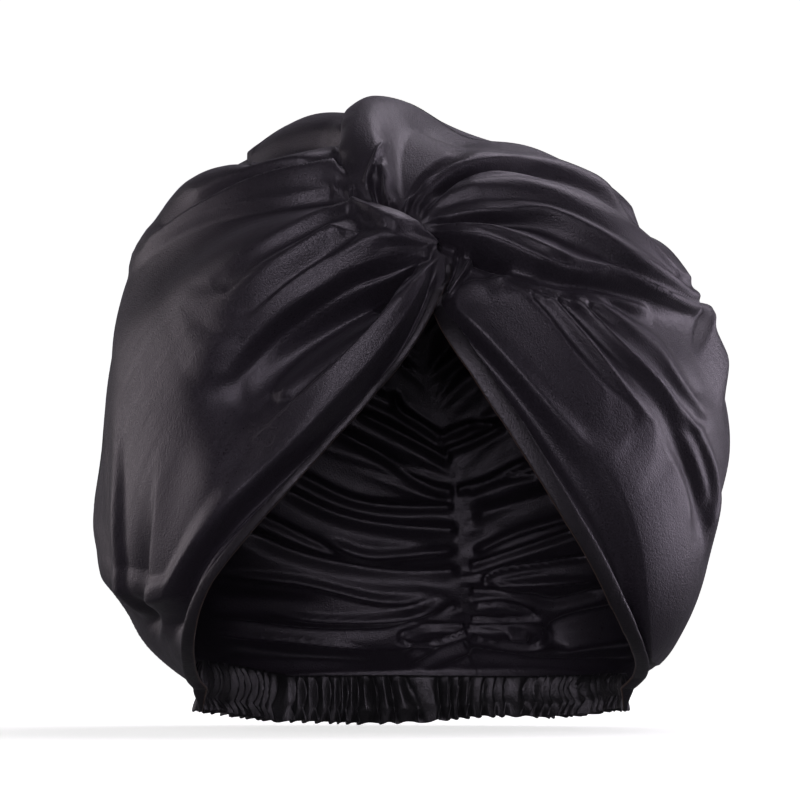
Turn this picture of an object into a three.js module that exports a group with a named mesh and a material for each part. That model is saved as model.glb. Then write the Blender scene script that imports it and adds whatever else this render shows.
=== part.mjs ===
// A satin sleep cap with a twisted front. Two satin panels are gathered along a seam that runs from the knot
// over the crown and down the back, and pass over each other in a knot above the forehead. Each panel has a
// hem along its side of the face opening, and an elasticated casing with a frill closes the cap at the nape.
//
// Millimetres, +Z up. Left and right are as seen from the front, the face opening is on the -Y side, and
// Z = 0 is the surface that the cap rests on.

import * as THREE from "three";

const { degToRad, radToDeg, lerp, clamp, smoothstep } = THREE.MathUtils;

// Cloth
const WALL = 1.8; // two layers of satin
const GAP = 0.3; // clearance between neighbouring pieces
const HEM_WIDTH = 6;
const HEM_THICKNESS = 3;

// The filled-out cap without its folds: a rounded block, flatter below than above
const FORM = {
  centreZ: 112,
  halfWidth: 126,
  front: 117,
  back: 119,
  up: 132,
  down: 112,
  planPower: 2.3,
  upPower: 2.33,
  downPower: 2.65,
  lowest: 17, // below this it goes straight down
};

// The nape opening
const NECK_CENTRE = new THREE.Vector3(0, 28, 0);
const RIM_HEIGHT = { nape: 20, corner: 13 };
const RIM_EASE = 24; // height above the rim over which folds and gathers die away
const HEM_FOOT = 4; // height at which the hems end
const FRILL_HEIGHT = 8;
const CASING_GATHERS = 30;
const CASING_FROM = -6; // degrees round the rim, from the right corner
const CASING_TO = 186; // to the left corner, with the nape at 90

// Where each panel's folds meet at the knot. The right panel's upper folds run in under the left panel's
// fold, so the two points lie side by side.
const KNOT = { right: { x: 0, z: 198 }, left: { x: 12.5, z: 186 } };
const KNOT_START = { right: 0.6, left: 2 }; // degrees from that point at which a panel begins
const KNOT_PINCH = { reach: 6, right: 3, left: 1 };
const LOOP_ROLL = { reach: 16, from: 9, ease: 4, until: 86 }; // the loop's edge rolls down onto the left panel

// Steps along and around a panel
const ALONG_STEPS = { knot: 12, side: 8, back: 20 };
const KNOT_END = 45;
const SIDE_END = 85;
const AROUND_STEPS = 27;
const AROUND_CROWDING = 1.25; // above 1, the steps are closer near the centre seam

// A table's rows as objects with the named columns.
function table(columns, rows) {
  return rows.map((row) => Object.fromEntries(columns.map((name, i) => [name, row[i]])));
}

// Edges of the panels: the angle round the knot, from straight up towards the panel's own side, at each
// distance from the knot. Both are in degrees about the middle of the cap.
const EDGE_COLUMNS = ["distance", "angle"];

const RIGHT_FACE_EDGE = table(EDGE_COLUMNS, [
  [0, 172],
  [14, 168],
  [30, 164],
  [44, 156],
  [62, 149],
  [87, 142],
  [101, 137],
  [113, 131],
  [121, 123],
  [128, 116],
  [133, 113],
  [138, 115],
  [146, 119],
]);

const LEFT_FACE_EDGE = table(EDGE_COLUMNS, [
  [0, 180],
  [12, 171],
  [27, 160],
  [41, 150],
  [59, 142],
  [76, 137],
  [91, 132],
  [105, 127],
  [113, 123],
  [121, 117],
  [128, 112],
  [132, 110],
  [138, 113],
  [146, 117],
]);

// The loop of the right panel leads over the left panel here, and returns to the centre seam on the crown.
const RIGHT_UPPER_EDGE = table(EDGE_COLUMNS, [
  [0, -130],
  [5, -112],
  [8, -76],
  [11, -58],
  [15, -50],
  [26, -35],
  [45, -18],
  [58, -7],
  [70, 0],
  [180, 0],
]);

// The fold of the left panel that crosses the knot; past its end the left panel runs in under the loop.
const LEFT_FOLD_EDGE = table(EDGE_COLUMNS, [
  [0, 20],
  [6, 38],
  [9, 46],
  [16, 57],
  [21, 56],
]);
const LEFT_FOLD_END = 20;
const LEFT_LOOP_START = 27;

// How far the left panel reaches in under the loop, in millimetres, at distances from the right panel's knot
const UNDERLAP = table(["distance", "reach"], [
  [0, 10],
  [46, 9],
  [62, 5],
  [72, -GAP],
  [180, -GAP],
]);

// Folds: the angle of the crest near the knot, halfway and at its far end, the distances from the knot
// between which it runs, its widths above and below the crest in degrees, and its height in millimetres.
// A negative height is a crease or a hollow.
const FOLD_COLUMNS = ["near", "middle", "far", "from", "to", "above", "below", "height"];

const RIGHT_FOLDS = table(FOLD_COLUMNS, [
  [-40, -10, -4, 2, 84, 50, 26, 9], // loop over the left panel
  [25, 58, 72, 3, 58, 16, 16, -5], // crease below the loop
  [58, 74, 79, 4, 66, 18, 14, 5], // broad band
  [97, 86, 80, 3, 66, 14, 12, -4], // crease below the band
  [118, 104, 101, 4, 50, 14, 14, 5], // narrow fold
  [108, 92, 66, 30, 88, 14, 18, -7], // long crease to the side
  [22, 40, 56, 18, 104, 34, 32, -8], // flatter side of the crown
  [68, 70, 72, 76, 94, 12, 16, 3.5], // start of the fuller side
  [112, 117, 116, 36, 98, 12, 12, 4], // fold of the side panel
  [80, 89, 96, 98, 142, 45, 30, -5], // flatter lower side
  [156, 136, 120, 22, 124, 11, 9, -4], // valley beside the hem
  [120, 150, 166, 1, 32, 45, 40, -7], // pressed down under the left panel's fold
]);

const LEFT_FOLDS = table(FOLD_COLUMNS, [
  [88, 92, 98, 1, 64, 50, 18, 8], // fold that crosses the knot
  [134, 116, 113, 3, 78, 14, 13, -8], // crease and hollow below it
  [146, 132, 128, 2, 72, 13, 12, 5], // long ridge
  [36, 44, 38, 28, 80, 12, 14, -6], // crease of the crown
  [26, 26, 26, 30, 90, 14, 16, 5], // fuller crown behind it
  [54, 70, 60, 18, 88, 14, 14, -7], // long crease to the side
  [46, 54, 58, 24, 86, 30, 26, 6], // fuller shoulder
  [62, 70, 76, 78, 112, 24, 24, -3.5], // flatter side
  [84, 90, 96, 104, 146, 20, 20, 2.5], // fuller lower side
  [20, 8, 0, 14, 76, 50, 22, -4], // pressed down under the loop
  [118, 122, 110, 70, 136, 12, 12, 3], // soft fold above the corner
]);

// The hem's section: shares of half its width and of half its thickness
const HEM_SECTION = table(["aside", "proud"], [
  [-1, 0.6],
  [0.5, 1],
  [1, 0.5],
  [1, -0.5],
  [0.5, -1],
  [-1, -0.6],
]);

const FOLD_RISE = 0.18; // share of a fold's run over which it rises from the knot
const FOLD_FALL = 0.45; // share over which it dies away

// Gathers of the centre seam. They fan out from the seam, so they are spaced by the angle over the crown,
// from straight up towards the back.
const SEAM = {
  pitch: 15,
  height: 4.5,
  first: 20,
  full: 62,
  fanFrom: 120,
  fan: 0.006,
  reach: 105,
  pinchReach: 9,
  pinch: 3,
  leftShift: 4,
};

// How far outside the form a point lies: nought on its surface.
function formValue(point) {
  const depth = point.y < 0 ? FORM.front : FORM.back;
  const rise = Math.max(point.z, FORM.lowest) - FORM.centreZ;
  const power = rise > 0 ? FORM.upPower : FORM.downPower;
  const height = rise > 0 ? FORM.up : FORM.down;
  const across = Math.abs(point.x / FORM.halfWidth) ** FORM.planPower;
  const through = Math.abs(point.y / depth) ** FORM.planPower;
  return (across + through) ** (power / FORM.planPower) + Math.abs(rise / height) ** power - 1;
}

// Where a line from a point inside the form meets its surface.
function formPoint(from, direction) {
  let near = 0;
  let far = 2 * FORM.halfWidth + FORM.up;
  const point = new THREE.Vector3();
  for (let halving = 0; halving < 40; halving += 1) {
    const middle = (near + far) / 2;
    point.copy(from).addScaledVector(direction, middle);
    if (formValue(point) > 0) far = middle;
    else near = middle;
  }
  return point;
}

// The form's outward normal.
function formNormal(point) {
  const step = 0.05;
  const slope = (axis) => {
    const ahead = point.clone();
    const behind = point.clone();
    ahead[axis] += step;
    behind[axis] -= step;
    return formValue(ahead) - formValue(behind);
  };
  return new THREE.Vector3(slope("x"), slope("y"), slope("z")).normalize();
}

// The polar frame of a panel: its middle, the axis to its knot, and the directions of angles 0 and 90.
function polarFrame(knot, side) {
  const depth = (1 - Math.abs((knot.z - FORM.centreZ) / FORM.up) ** FORM.upPower) ** (1 / FORM.upPower);
  const pole = new THREE.Vector3(knot.x, -FORM.front * depth, knot.z);
  const middle = pole.clone().lerp(NECK_CENTRE, 0.42);
  const axis = pole.clone().sub(middle).normalize();
  const upward = new THREE.Vector3(0, 0.6, 0.8);
  upward.addScaledVector(axis, -upward.dot(axis)).normalize();
  const outward = new THREE.Vector3().crossVectors(upward, axis).multiplyScalar(side);
  return { middle, axis, upward, outward };
}

// The form's surface at a distance and an angle from a panel's knot, both in degrees.
function polarPoint(frame, distance, angle) {
  const reach = Math.sin(degToRad(distance));
  const direction = frame.axis.clone().multiplyScalar(Math.cos(degToRad(distance)));
  direction.addScaledVector(frame.upward, reach * Math.cos(degToRad(angle)));
  direction.addScaledVector(frame.outward, reach * Math.sin(degToRad(angle)));
  return formPoint(frame.middle, direction);
}

// A point's distance and angle from a panel's knot, and its distance from the axis in millimetres.
function polarOf(frame, point) {
  const ray = point.clone().sub(frame.middle);
  const up = ray.dot(frame.upward);
  const out = ray.dot(frame.outward);
  const radius = Math.hypot(up, out);
  return {
    distance: radToDeg(Math.atan2(radius, ray.dot(frame.axis))),
    angle: radToDeg(Math.atan2(out, up)),
    radius,
  };
}

// A column's value at a distance, on straight lines between a table's rows.
function rowValue(rows, distance, column) {
  const next = rows.findIndex((row) => row.distance >= distance);
  if (next < 0) return rows.at(-1)[column];
  if (next === 0) return rows[0][column];
  const [before, after] = [rows[next - 1], rows[next]];
  const share = (distance - before.distance) / (after.distance - before.distance);
  return lerp(before[column], after[column], share);
}

const RIGHT = {
  side: 1,
  frame: polarFrame(KNOT.right, 1),
  folds: RIGHT_FOLDS,
  faceEdge: RIGHT_FACE_EDGE,
  start: KNOT_START.right,
  pinch: KNOT_PINCH.right,
  seamShift: 0,
};
const LEFT = {
  side: -1,
  frame: polarFrame(KNOT.left, -1),
  folds: LEFT_FOLDS,
  faceEdge: LEFT_FACE_EDGE,
  start: KNOT_START.left,
  pinch: KNOT_PINCH.left,
  seamShift: SEAM.leftShift,
};

// The angle at which a panel meets its hem.
function faceAngle(panel, distance) {
  const angle = rowValue(panel.faceEdge, distance, "angle");
  const radius = polarOf(panel.frame, polarPoint(panel.frame, distance, angle)).radius;
  return angle - radToDeg((HEM_WIDTH + GAP) / Math.max(radius, 3 * HEM_WIDTH));
}

// How far a point of the form lies past the right panel's upper edge, on the right panel's side.
function pastLoopEdge(point) {
  const { distance, angle, radius } = polarOf(RIGHT.frame, point);
  return degToRad(angle - rowValue(RIGHT_UPPER_EDGE, distance, "angle")) * radius;
}

// The angle at which a panel ends above: at the loop's edge, the fold's edge or the centre seam.
function upperAngle(panel, distance) {
  if (panel === RIGHT) return rowValue(RIGHT_UPPER_EDGE, distance, "angle");
  const foldAngle = rowValue(LEFT_FOLD_EDGE, distance, "angle");
  if (distance <= LEFT_FOLD_END) return foldAngle;
  let inner = -60;
  let outer = 90;
  for (let halving = 0; halving < 30; halving += 1) {
    const middle = (inner + outer) / 2;
    const point = polarPoint(LEFT.frame, distance, middle);
    const reach = rowValue(UNDERLAP, polarOf(RIGHT.frame, point).distance, "reach");
    if (pastLoopEdge(point) > reach) inner = middle;
    else outer = middle;
  }
  return lerp(foldAngle, outer, smoothstep(distance, LEFT_FOLD_END, LEFT_LOOP_START));
}

// The height that a panel's folds add at a distance and an angle from its knot.
function foldHeight(panel, distance, angle) {
  let height = -panel.pinch * Math.exp(-((distance / KNOT_PINCH.reach) ** 2));
  for (const fold of panel.folds) {
    const run = (distance - fold.from) / (fold.to - fold.from);
    if (run <= 0 || run >= 1) continue;
    const bend = 4 * (fold.middle - (fold.near + fold.far) / 2);
    const crest = lerp(fold.near, fold.far, run) + bend * run * (1 - run);
    const aside = angle - crest;
    const spread = Math.abs(aside) / (aside < 0 ? fold.above : fold.below);
    if (spread >= 1) continue;
    const fade = smoothstep(run, 0, FOLD_RISE) * smoothstep(1 - run, 0, FOLD_FALL);
    height += fold.height * fade * 0.5 * (1 + Math.cos(Math.PI * spread));
  }
  return height;
}

// The height that the gathers of the centre seam add at a point of the form.
function gatherHeight(panel, point) {
  const over = radToDeg(Math.atan2(point.y, point.z - FORM.centreZ));
  const aside = Math.abs(point.x);
  const strength = smoothstep(over, SEAM.first, SEAM.full);
  const spaced = SEAM.fanFrom + (over - SEAM.fanFrom) / (1 + SEAM.fan * aside) + panel.seamShift;
  const wave = Math.cos((2 * Math.PI * spaced) / SEAM.pitch);
  const near = smoothstep(aside, 0, 2 * SEAM.pinchReach);
  const fade = near * (1 - smoothstep(aside, SEAM.reach / 3, SEAM.reach));
  const pinch = Math.exp(-((aside / SEAM.pinchReach) ** 2));
  return strength * (SEAM.height * wave * fade - SEAM.pinch * pinch);
}

// The height of a panel's outer face above a point of the form.
function clothHeight(panel, onForm) {
  const { distance, angle } = polarOf(panel.frame, onForm);
  const ease = smoothstep(onForm.z - rimHeight(onForm), 0, RIM_EASE);
  return ease * (foldHeight(panel, distance, angle) + gatherHeight(panel, onForm));
}

// The height of the right panel where its loop rolls down, by a quarter round, onto the left panel.
function loopHeight(onForm) {
  const height = clothHeight(RIGHT, onForm);
  const { distance } = polarOf(RIGHT.frame, onForm);
  const inside = clamp(pastLoopEdge(onForm) / LOOP_ROLL.reach, 0, 1);
  if (distance > LOOP_ROLL.until || inside === 1) return height;
  const seat = clothHeight(LEFT, onForm) + WALL + 2 * GAP;
  const rise = smoothstep(distance, LOOP_ROLL.from, LOOP_ROLL.from + LOOP_ROLL.ease);
  const fade = rise * (1 - smoothstep(distance, LOOP_ROLL.until - LOOP_ROLL.reach, LOOP_ROLL.until));
  const round = Math.sqrt(1 - (1 - inside) ** 2);
  return lerp(height, lerp(seat, Math.max(height, seat), round), fade);
}

// The outer face of a panel at a distance and an angle from its knot, with the way out of the cloth.
function clothPoint(panel, distance, angle) {
  const onForm = polarPoint(panel.frame, distance, angle);
  const normal = formNormal(onForm);
  const height = panel === RIGHT ? loopHeight(onForm) : clothHeight(panel, onForm);
  return { point: onForm.addScaledVector(normal, height), normal };
}

// The height of the rim below a point, higher at the nape than at the corners.
function rimHeight(point) {
  const round = radToDeg(Math.atan2(point.y, Math.abs(point.x)));
  return lerp(RIM_HEIGHT.corner, RIM_HEIGHT.nape, smoothstep(round, -10, 40));
}

// The distance from the knot at which a panel comes down to a height above the rim, at a share of the way
// round from the centre seam to the hem.
function rimDistance(panel, share, above = 0) {
  let near = SIDE_END;
  let far = 172;
  for (let halving = 0; halving < 30; halving += 1) {
    const middle = (near + far) / 2;
    const angle = lerp(upperAngle(panel, middle), faceAngle(panel, middle), share);
    const point = polarPoint(panel.frame, middle, angle);
    if (point.z > rimHeight(point) + above) near = middle;
    else far = middle;
  }
  return near;
}

// Rows of a panel's distances from the knot to the rim, at a share of the way round.
function panelDistances(panel, share) {
  const rim = rimDistance(panel, share);
  const stretches = [
    [panel.start, KNOT_END, ALONG_STEPS.knot],
    [KNOT_END, SIDE_END, ALONG_STEPS.side],
    [SIDE_END, rim, ALONG_STEPS.back],
  ];
  const distances = [panel.start];
  for (const [from, to, steps] of stretches) {
    for (let step = 1; step <= steps; step += 1) distances.push(lerp(from, to, step / steps));
  }
  return distances;
}

// A closed solid through sections that are closed loops of points. The first half of each loop runs along
// one face and the second half runs back along the other, so its ends close as strips.
function loft(sections) {
  const size = sections[0].length;
  const index = [];
  const quad = (a, b, c, d) => index.push(a, b, c, a, c, d);
  for (let i = 0; i + 1 < sections.length; i += 1) {
    for (let k = 0; k < size; k += 1) {
      const next = (k + 1) % size;
      quad(i * size + k, i * size + next, (i + 1) * size + next, (i + 1) * size + k);
    }
  }
  const last = (sections.length - 1) * size;
  for (let k = 0; k < size / 2 - 1; k += 1) {
    const mate = size - 1 - k;
    quad(k, mate, mate - 1, k + 1);
    quad(last + k, last + k + 1, last + mate - 1, last + mate);
  }
  const points = sections.flat();
  if (signedVolume(points, index) < 0) index.reverse();
  const geometry = new THREE.BufferGeometry().setFromPoints(points).setIndex(index);
  geometry.computeVertexNormals();
  return geometry;
}

// Six times the volume inside a closed surface, negative where its faces point inwards.
function signedVolume(points, index) {
  let volume = 0;
  for (let i = 0; i < index.length; i += 3) {
    const [a, b, c] = [points[index[i]], points[index[i + 1]], points[index[i + 2]]];
    volume += a.dot(new THREE.Vector3().crossVectors(b, c));
  }
  return volume;
}

// A panel: a wall of cloth from the knot to the rim and from the centre seam to the hem.
function panelGeometry(panel) {
  const columns = [];
  for (let around = 0; around <= AROUND_STEPS; around += 1) {
    const share = (around / AROUND_STEPS) ** AROUND_CROWDING;
    const column = panelDistances(panel, share).map((distance) => {
      const angle = lerp(upperAngle(panel, distance), faceAngle(panel, distance), share);
      return clothPoint(panel, distance, angle);
    });
    columns.push(column);
  }
  const sections = columns[0].map((_, along) => {
    const row = columns.map((column) => column[along]);
    const outer = row.map(({ point }) => point);
    const inner = row.map(({ point, normal }) => point.clone().addScaledVector(normal, -WALL));
    return [...outer, ...inner.reverse()];
  });
  return loft(sections);
}

// A hem: a flat roll of doubled cloth along a panel's side of the face opening, down past the rim.
function hemGeometry(panel, from) {
  const foot = rimDistance(panel, 1, HEM_FOOT - RIM_HEIGHT.corner);
  const distances = [...panelDistances(panel, 1).filter((distance) => distance >= from), foot];
  const sections = distances.map((distance) => {
    const edgeAngle = rowValue(panel.faceEdge, distance, "angle");
    const { point: start, normal } = clothPoint(panel, distance, faceAngle(panel, distance));
    const end = clothPoint(panel, distance, edgeAngle).point;
    const across = end.sub(start).normalize();
    const centre = start.addScaledVector(across, GAP + HEM_WIDTH / 2).addScaledVector(normal, -WALL / 2);
    return HEM_SECTION.map(({ aside, proud }) => {
      const corner = centre.clone().addScaledVector(across, (aside * HEM_WIDTH) / 2);
      corner.addScaledVector(normal, (proud * HEM_THICKNESS) / 2);
      return corner.setZ(Math.max(corner.z, GAP));
    });
  });
  return loft(sections);
}

// Levels of the nape casing from its top to the foot of its frill: the share of the frill's height and of the
// casing's height above it, how far its two faces lie outside and inside the rim line, and how deep the
// gathers are.
const CASING_LEVELS = table(["frill", "casing", "outside", "inside", "gather"], [
  [1, 1, 1.1, -1.1, 0.3],
  [1, 0.7, 2.6, -2.4, 1],
  [1, 0.27, 2.6, -2.4, 1],
  [1, 0, 1, -1, 0.5],
  [0, 0, 1, -1, 2.4],
]);

// The casing of the nape elastic with its frill, gathered all the way round.
function casingGeometry() {
  const steps = CASING_GATHERS * 3;
  const sections = [];
  for (let step = 0; step <= steps; step += 1) {
    const round = degToRad(lerp(CASING_FROM, CASING_TO, step / steps));
    const ripple = Math.cos((2 * Math.PI * CASING_GATHERS * step) / steps);
    const top = rimHeight(rimPoint(round, RIM_HEIGHT.nape)) - GAP;
    const centre = rimPoint(round, top);
    const outward = centre.clone().setZ(0).sub(NECK_CENTRE).normalize();
    const face = (column) =>
      CASING_LEVELS.map((row) => {
        const height = row.frill * FRILL_HEIGHT + row.casing * (top - FRILL_HEIGHT);
        const reach = row[column] + row.gather * ripple;
        return centre.clone().setZ(height).addScaledVector(outward, reach);
      });
    sections.push([...face("outside"), ...face("inside").reverse()]);
  }
  return loft(sections);
}

// The form's outline at a height, at an angle round from the right.
function rimPoint(round, height) {
  const rise = Math.max(height, FORM.lowest) - FORM.centreZ;
  const low = Math.abs(rise / FORM.down) ** FORM.downPower;
  const scale = (1 - low) ** (1 / FORM.downPower);
  const bend = 2 / FORM.planPower;
  const depth = Math.sin(round) < 0 ? FORM.front : FORM.back;
  const x = Math.sign(Math.cos(round)) * Math.abs(Math.cos(round)) ** bend * FORM.halfWidth;
  const y = Math.sign(Math.sin(round)) * Math.abs(Math.sin(round)) ** bend * depth;
  return new THREE.Vector3(x * scale, y * scale, height);
}

// Assembly
function satin(color) {
  return new THREE.MeshStandardMaterial({ color, roughness: 0.42, metalness: 0, side: THREE.DoubleSide });
}

const cap = new THREE.Group();
function addPiece(name, geometry, material) {
  const mesh = new THREE.Mesh(geometry, material);
  mesh.name = name;
  cap.add(mesh);
}

addPiece("panel_left", panelGeometry(LEFT), satin(0x2e2a30));
addPiece("panel_right", panelGeometry(RIGHT), satin(0x2f2b34));
addPiece("front_hem_left", hemGeometry(LEFT, 8), satin(0x262226));
addPiece("front_hem_right", hemGeometry(RIGHT, 24), satin(0x262228));
addPiece("nape_casing", casingGeometry(), satin(0x19181a));

export default cap;
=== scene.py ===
"""The looks of a dark satin sleep cap: folded panels, gathered seam, hems and ruched nape casing.

The panels repeat the plain form, the polar frames and the edges of the solids, in millimetres, and add the
folds that the photograph shows. +Z is up, the face opening is on the -Y side, and Z = 0 is the floor.
"""

from collections import namedtuple

import bpy
import numpy as np
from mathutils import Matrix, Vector


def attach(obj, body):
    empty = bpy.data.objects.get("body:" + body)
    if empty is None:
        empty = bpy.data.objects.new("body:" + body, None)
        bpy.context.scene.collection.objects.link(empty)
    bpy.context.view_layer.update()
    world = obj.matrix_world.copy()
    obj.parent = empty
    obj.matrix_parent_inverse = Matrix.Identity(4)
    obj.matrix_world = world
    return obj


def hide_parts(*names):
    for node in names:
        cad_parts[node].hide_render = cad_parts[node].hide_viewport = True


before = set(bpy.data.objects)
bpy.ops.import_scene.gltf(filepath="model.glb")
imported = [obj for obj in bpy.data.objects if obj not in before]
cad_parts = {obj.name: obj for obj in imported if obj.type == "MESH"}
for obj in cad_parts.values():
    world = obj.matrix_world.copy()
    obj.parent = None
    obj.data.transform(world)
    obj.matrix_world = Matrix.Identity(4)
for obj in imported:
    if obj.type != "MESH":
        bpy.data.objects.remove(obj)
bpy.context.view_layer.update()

MM = 0.001
HALVINGS = 30  # steps of a search between two bounds
SLOPE_STEP = 0.05  # millimetres over which the form's slopes are measured

# Cloth
SEAT = 0.5  # height at which one layer lies on another
OUTER_LIFT = 4  # height of the back's outer layer above its inside
LAYER_GAP = 0.25  # the least such height
CLOTH_UNIT = 100  # degrees or millimetres in one unit of a place on the cloth

# The filled-out cap without its folds
CENTRE_Z = 112.0
HALF_WIDTH = 126.0
FRONT = 117.0
BACK = 119.0
UP = 132.0
DOWN = 112.0
PLAN_POWER = 2.3
UP_POWER = 2.33
DOWN_POWER = 2.65
LOWEST = 17.0

# The nape opening
NECK_CENTRE = np.array([0.0, 28.0, 0.0])
RIM_NAPE = 20.0
RIM_CORNER = 13.0
RIM_TURN = (-10, 40)  # degrees behind the side between which the rim rises to the nape
RIM_EASE = 24.0
HEM_FOOT = 8.0
HEM_TURN = (18, 64)  # heights between which a hem turns to face forward
FLAT_COVER = 0.5  # share of a hem's width that the panel leaves free
TURNED_COVER = 0.05  # the same share where the hem is turned

# The panels' polar frames
MIDDLE_SHARE = 0.42  # share of the way from a knot to the neck's centre at which a panel's middle lies
UPWARD = np.array([0, 0.6, 0.8])
KNOT_REACH = 6  # degrees over which the cloth is pinched at a knot
LEAST_RADIUS = 18  # from a panel's axis, where a hem's width becomes an angle

# The front view of the photograph: the eye, the point it looks at and the millimetres in a pixel there
EYE = np.array([-4.8, -2000.0, 40.0])
AIM = np.array([-4.8, 0.0, 131.6])
MM_PER_PIXEL = 0.4
PICTURE_SIDE = 800


def smoothstep(value, low, high):
    share = np.clip((value - low) / (high - low), 0, 1)
    return share * share * (3 - 2 * share)


def between(value, start, full, fall, end):
    """A share that grows from the start to the full and dies away from the fall to the end."""
    return smoothstep(value, start, full) * (1 - smoothstep(value, fall, end))


def lerp(a, b, share):
    return a + (b - a) * share


def unit(vectors):
    return vectors / np.linalg.norm(vectors, axis=-1, keepdims=True)


def signed_power(value, power):
    return np.sign(value) * np.abs(value) ** power


Wave = namedtuple("Wave", "size rate phase")


def wander(place, waves, side=1):
    """How far an uneven line wanders at places: the sum of waves."""
    return sum(wave.size * np.sin(wave.rate * place + wave.phase * side) for wave in waves)


def halve(shape, near, far, is_past):
    """An array of the values between two bounds at which a test turns true."""
    near, far = np.full(shape, float(near)), np.full(shape, float(far))
    for _ in range(HALVINGS):
        middle = (near + far) / 2
        past = is_past(middle)
        far = np.where(past, middle, far)
        near = np.where(past, near, middle)
    return near


def form_value(point):
    """How far outside the form points lie: nought on its surface."""
    depth = np.where(point[..., 1] < 0, FRONT, BACK)
    rise = np.maximum(point[..., 2], LOWEST) - CENTRE_Z
    power = np.where(rise > 0, UP_POWER, DOWN_POWER)
    height = np.where(rise > 0, UP, DOWN)
    plan = np.abs(point[..., 0] / HALF_WIDTH) ** PLAN_POWER + np.abs(point[..., 1] / depth) ** PLAN_POWER
    return plan ** (power / PLAN_POWER) + np.abs(rise / height) ** power - 1


def form_point(start, direction):
    """Where lines from a point inside the form meet its surface."""

    def is_outside(reach):
        return form_value(start + direction * reach[..., None]) > 0

    reach = halve(direction.shape[:-1], 0, 2 * HALF_WIDTH + UP, is_outside)
    return start + direction * reach[..., None]


def form_normal(point):
    """The form's outward normals."""
    slopes = [form_value(point + step) - form_value(point - step) for step in SLOPE_STEP * np.eye(3)]
    return unit(np.stack(slopes, -1))


def front_view(point):
    """Where points show in the photograph, in its pixels from the left and from the top."""
    ahead = AIM - EYE
    reach = np.linalg.norm(ahead)
    ahead = ahead / reach
    right = unit(np.cross(ahead, [0, 0, 1]))
    up = np.cross(right, ahead)
    ray = point - EYE
    scale = reach / MM_PER_PIXEL / (ray @ ahead)
    middle = PICTURE_SIDE / 2
    return np.stack([middle + (ray @ right) * scale, middle - (ray @ up) * scale], -1)


def rim_height(point):
    """The height of the rim below points, higher at the nape than at the corners."""
    around = np.degrees(np.arctan2(point[..., 1], np.abs(point[..., 0])))
    return lerp(RIM_CORNER, RIM_NAPE, smoothstep(around, *RIM_TURN))


class Edge:
    """Values at places, on straight lines between rows of a place and its value."""

    def __init__(self, *rows):
        self.places, self.values = np.array(rows, float).T

    def __call__(self, place):
        return np.interp(place, self.places, self.values)


# Edges of the panels: angles, or widths in millimetres, at distances from the knot in degrees
RIGHT_FACE_EDGE = Edge(
    (0, 172), (14, 168), (30, 164), (44, 156), (62, 149), (87, 141.5), (101, 136.4), (107, 134),
    (114, 130), (120, 125.6), (126, 120.5), (131, 116.5), (137, 114), (146, 114),
)
LEFT_FACE_EDGE = Edge(
    (0, 212), (3, 212), (6, 193), (9, 182), (13, 173), (20, 165.5), (27, 160), (41, 150), (59, 142),
    (76, 137), (91, 131.5), (100, 128), (106, 126.3), (111, 125), (116, 123.3), (122, 120.8),
    (127, 118), (131, 115.5), (137, 113.4), (146, 113),
)
LEFT_HEM_WIDTH = Edge(
    (0, 5.2), (6, 4.6), (13, 3.4), (22, 2.8), (60, 3.2), (95, 4.4), (112, 5.6), (150, 5.6),
)
RIGHT_HEM_WIDTH = Edge((0, 4), (30, 7), (108, 7.5), (120, 6), (150, 5.6))
RIGHT_UPPER_EDGE = Edge(
    (0, -188), (3.5, -176), (5.5, -128), (7, -108), (8.5, -90), (11, -74), (14, -61), (16.5, -53),
    (21, -43), (26.6, -31.5), (30.6, -25.5), (37.4, -19), (45, -14), (58, -6), (70, 0), (180, 0),
)
LEFT_FOLD_EDGE = Edge((0, 20), (6, 38), (9, 46), (16, 57), (21, 56))
# Distances at which the left panel's fold over the knot ends, where it starts to ease off, and where the
# panel's edge lies under the loop
LEFT_FOLD_END = 20
LEFT_FOLD_EASES = 16
LEFT_LOOP_START = 27
UNDERLAP = Edge((0, 12), (46, 11), (62, 6), (72, 1), (180, 1))  # of the left panel under the loop
TUCK_REACH = 3.5  # millimetres over which the fold over the knot is rolled down
LOOP_REACH = 9  # the same for the loop
LOOP_FROM = 9  # distances between which the loop is rolled down, to the full between the middle two
LOOP_FULL = 13
LOOP_EASES = 77
LOOP_UNTIL = 86
LOOP_TO_SEAM = (58, 74)  # distances between which the loop's edge runs into the seam

# Broad forms of the panels: the angle of the crest near the knot, halfway and at its far end, the
# distances between which it runs, its widths above and below the crest in degrees, and its height
Swell = namedtuple("Swell", "near middle far start end above below height")
SWELL_RISE = 0.18  # shares of the run over which a swell rises and dies away
SWELL_FALL = 0.45

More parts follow.
